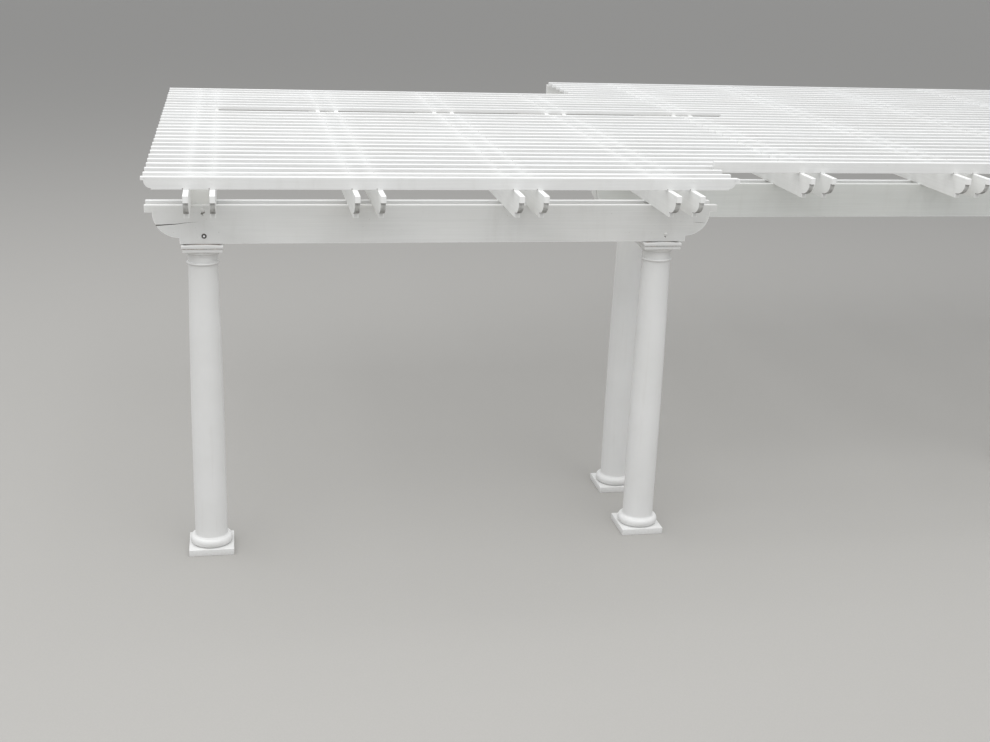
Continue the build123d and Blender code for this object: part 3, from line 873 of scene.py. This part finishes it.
# where each column's bolts stand: aside of its middle and above the beam's lower edge
bolts = {
    "lower": [(0.0150, 0.0585), (0.027, 0.0575), (-0.006, 0.056), (0.004, 0.060), (0.008, 0.057)],
    "upper": [(0.0067, 0.2520), (-0.004, 0.231), (0.006, 0.228), (-0.009, 0.235), (0.003, 0.230)],
    "toFace": 0.108, "beams": ("beam_a_front", "beam_a_front") + ("beam_b_front_left",) * 3,
}
headPlaces, nutPlaces = {"lower": [], "upper": []}, []
for number, (x, y, _) in enumerate(columnPlaces):
    lowest = nodeBox(bolts["beams"][number])[0][2]
    for row, places in headPlaces.items():
        aside, height = bolts[row][number]
        places.append((x + aside, y - bolts["toFace"], lowest + height))
        nutPlaces.append((x + aside, y + bolts["toFace"], lowest + height))
bareBolt = headPlaces["lower"][:1]
paintedBolts = headPlaces["lower"][1:] + headPlaces["upper"]
# Column 1's bare bolt: a near-black ring, partly painted shade of the recess round the head, and a near-white
# head, partly a painted highlight.
putPiece("bolt_ring_bare", setOut(stud("bareRing", 24), bareBolt), rustedMaterial)
putPiece("bolt_head_bare", setOut(stud("bareHead", 18), bareBolt), zincMaterial)
putPiece("bolt_heads_painted", setOut(stud("domed", 18), paintedBolts), coatedMaterial)
nutStuds = [stud("washer", 18), stud("nut", 6, spin=0.3), stud("thread", 12)]
nutParts = [setOut(head, nutPlaces, True) for head in nutStuds]
putPiece("bolt_nuts", joined(nutParts), boltMaterial)

# flaked paint by the bolt of column 1 and on the front board, and a dark speck below the bolt of
# column 2: place, half sizes and tilt
flakes = [(0.0050, -0.108, 2.6708, 0.0105, 0.0070, -12), (0.0190, -0.108, 2.6768, 0.0092, 0.0040, 32),
          (0.0235, -0.108, 2.6890, 0.0026, 0.0020, 0), (0.0080, -0.108, 2.6560, 0.0060, 0.0014, 5),
          (3.4945, -0.108, 2.4850, 0.0062, 0.0048, 10), (3.7740, -0.4757, 2.9755, 0.0058, 0.0030, -15)]
flakeRim = {
    "points": 18, "rings": ((1, -0.001), (1, 0.0004), (0.8, 0.0007)), "swings": (0.22, 0.14, 0.08),
    "shifts": (900, 700),
}


def flake(x, y, z, width, height, tilt):
    # A thin scale whose rim swings in and out by three sines round an ellipse, turned by its tilt, on rings
    # that stand further out of the wood and draw in
    angles = np.linspace(0, 2 * np.pi, flakeRim["points"], endpoint=False)
    twice, thrice, fivefold = flakeRim["swings"]
    aside, up = np.array(flakeRim["shifts"]) * (x, z)
    swing = 1 + twice * np.sin(2 * angles + aside) + thrice * np.sin(3 * angles + up)
    swing += fivefold * np.sin(5 * angles)
    flat = np.stack([np.cos(angles) * width, np.sin(angles) * height], -1) * swing[:, None]
    cosine, sine = np.cos(np.radians(tilt)), np.sin(np.radians(tilt))
    flat = flat @ np.array([[cosine, sine], [-sine, cosine]])
    rings = [
        np.column_stack([x + flat[:, 0] * share, np.full(len(flat), y - out), z + flat[:, 1] * share])
        for share, out in flakeRim["rings"]
    ]
    points = np.concatenate(rings)
    return unmarked(points, outwards(points, tubeFaces(len(rings), len(flat))))


putPiece("flaked_paint", joined([flake(*place) for place in flakes]), flakedMaterial)


def rafterMiddles(letter):
    # The middle of every single rafter: aside of its pair by the offset and half a thickness
    aside = rafters["pairOffset"] + board["thickness"] / 2
    return [x + side * aside for x in rafterPlaces[letter] for side in (-1, 1)]


# Screws, one for each slat on each rafter, and how far each may stand off its mark
screwing = {"strayY": 0.006, "strayX": 0.008}
slatTop = seatTop + slat["side"] - slat["sunk"]
screws = []
for letter, numbers in (("a", [*rows["front"], *rows["toWallA"]]), ("b", rows["toWallB"])):
    for middle in rafterMiddles(letter):
        for row in numbers:
            if row == missing["row"] and missing["from"] < middle < missing["to"]:
                continue
            y = rowFront(row) + slat["side"] / 2 + chance.uniform(-screwing["strayY"], screwing["strayY"])
            x = middle + chance.uniform(-screwing["strayX"], screwing["strayX"])
            screws.append(tiltedPoint(x, y, slatTop))
putPiece("slat_screws", setOut(stud("screw", 10, True), screws), nailMaterial)

# Nails of the front boards: two in each rafter's end, one small one at its corner, and one that missed
nailing = {
    "heights": (0.020, 0.066), "strayX": 0.006, "strayZ": 0.004,
    "toeIn": 0.003, "toeHeight": 0.0065, "toeStray": 0.002, "missed": (3.793, 0.052),
}
nails, toeNails = [], []
for name, (start, end, y, _, _) in frontBoards.items():
    for middle in rafterMiddles("a" if name.endswith("a") else "b"):
        if start < middle < end:
            for height in nailing["heights"]:
                x = middle + chance.uniform(-nailing["strayX"], nailing["strayX"])
                z = seatTop + height + chance.uniform(-nailing["strayZ"], nailing["strayZ"])
                nails.append(tiltedPoint(x, y, z))
            x = middle - board["thickness"] / 2 - nailing["toeIn"]
            x += chance.uniform(-nailing["toeStray"], nailing["toeStray"])
            toeNails.append(tiltedPoint(x, y, seatTop + nailing["toeHeight"]))
nails.append(tiltedPoint(nailing["missed"][0], trim["frontA"], seatTop + nailing["missed"][1]))
putPiece("front_board_nails", setOut(stud("nail", 10), nails), coatedMaterial)
putPiece("front_board_toe_nails", setOut(stud("nail", 10), toeNails), nailMaterial)

# Lag screws of the ledgers, in two staggered rows
lagging = {"fromLeft": 0.22, "fromRight": 0.1, "pitch": 0.405, "rows": ((0.05, -0.02), (0.13, 0.02))}
lags = []
for name in ("ledger_a", "ledger_b"):
    low, high = nodeBox(name)
    for x in np.arange(low[0] + lagging["fromLeft"], high[0] - lagging["fromRight"], lagging["pitch"]):
        lags += [(x + aside, low[1], low[2] + height) for height, aside in lagging["rows"]]
putPiece("ledger_lags", setOut(stud("lag", 6), lags), boltMaterial)
print("bolts and nails made:", len(screws), "screws")

# Splits in the front board of the first beam: along each, its place, height and half width
splits = [
    [(-0.345, 2.5855, 0.0046), (-0.3123, 2.5869, 0.0040), (-0.2800, 2.5880, 0.0036),
     (-0.2537, 2.5899, 0.0032), (-0.2200, 2.5926, 0.0028), (-0.1860, 2.5939, 0.0022),
     (-0.1003, 2.6049, 0.0010), (-0.0282, 2.6099, 0.0002)],
    [(3.712, 2.5990, 0.0002), (3.745, 2.5965, 0.0009), (3.783, 2.5938, 0.0010), (3.812, 2.5915, 0.0003)],
]
# The split's faces are near-black: bare wood, darkened further as painted shade inside the split.
split = {"front": -0.1095, "depth": 0.024, "colour": (0.10, 0.085, 0.07), "roughness": 0.9}
splitMaterial, _, splitShader = newMaterial("splitWood")
splitShader.inputs["Base Color"].default_value = (*split["colour"], 1)
splitShader.inputs["Roughness"].default_value = split["roughness"]


def splitWedge(path):
    # A wedge along a wandering line: above and below it by the half width at the board's face, and closing
    # to the line itself at its depth
    x, z, half = np.array(path).T
    front = np.full(len(x), split["front"])
    corners = [(x, front, z + half), (x, front, z - half), (x, front + split["depth"], z)]
    points = np.stack([np.stack(corner, -1) for corner in corners], 1).reshape(-1, 3)
    return points, outwards(points, tubeFaces(len(x), 3))


splitBeam = bpy.data.objects["beam_a_front_painted"]
for path in splits:
    points, faces = splitWedge(path)
    mesh = bpy.data.meshes.new("split")
    mesh.from_pydata((points + foot).tolist(), [], faces)
    mesh.materials.append(splitMaterial)
    cutter = bpy.data.objects.new("split", mesh)
    scene.collection.objects.link(cutter)
    cut = splitBeam.modifiers.new("split", "BOOLEAN")
    cut.object, cut.solver, cut.material_mode = cutter, "EXACT", "TRANSFER"
    bpy.context.view_layer.update()
    opened = bpy.data.meshes.new_from_object(splitBeam.evaluated_get(bpy.context.evaluated_depsgraph_get()))
    splitBeam.modifiers.clear()
    splitBeam.data = opened
    bpy.data.objects.remove(cutter)
print("splits made:", len(splitBeam.data.polygons), "faces")

# Floor
floorLook = {"colour": (0.40, 0.39, 0.37), "tint": 0.97, "gritScale": 90.0, "gritRange": (0.35, 0.65),
             "roughness": 0.8, "reach": 600}


def plainFloor(name, look):
    # A pale colour and a slightly darker one in fine grit
    material, tree, shader = newMaterial(name)
    grit = noise(tree, addNode(tree, "TexCoord").outputs["Object"], look["gritScale"], 2.0)
    tint = tuple(value * look["tint"] for value in look["colour"])
    colour = mixed(tree, ranged(tree, grit, *look["gritRange"], 0, 1), look["colour"], tint)
    tree.links.new(colour, shader.inputs["Base Color"])
    shader.inputs["Roughness"].default_value = look["roughness"]
    return material


ground = bpy.data.meshes.new("floor")
corners = np.array([(-1, -1, 0), (1, -1, 0), (1, 1, 0), (-1, 1, 0)]) * floorLook["reach"] + foot
ground.from_pydata(corners.tolist(), [], [(0, 1, 2, 3)])
ground.materials.append(plainFloor("floorGrey", floorLook))
floor = bpy.data.objects.new("floor", ground)
scene.collection.objects.link(floor)
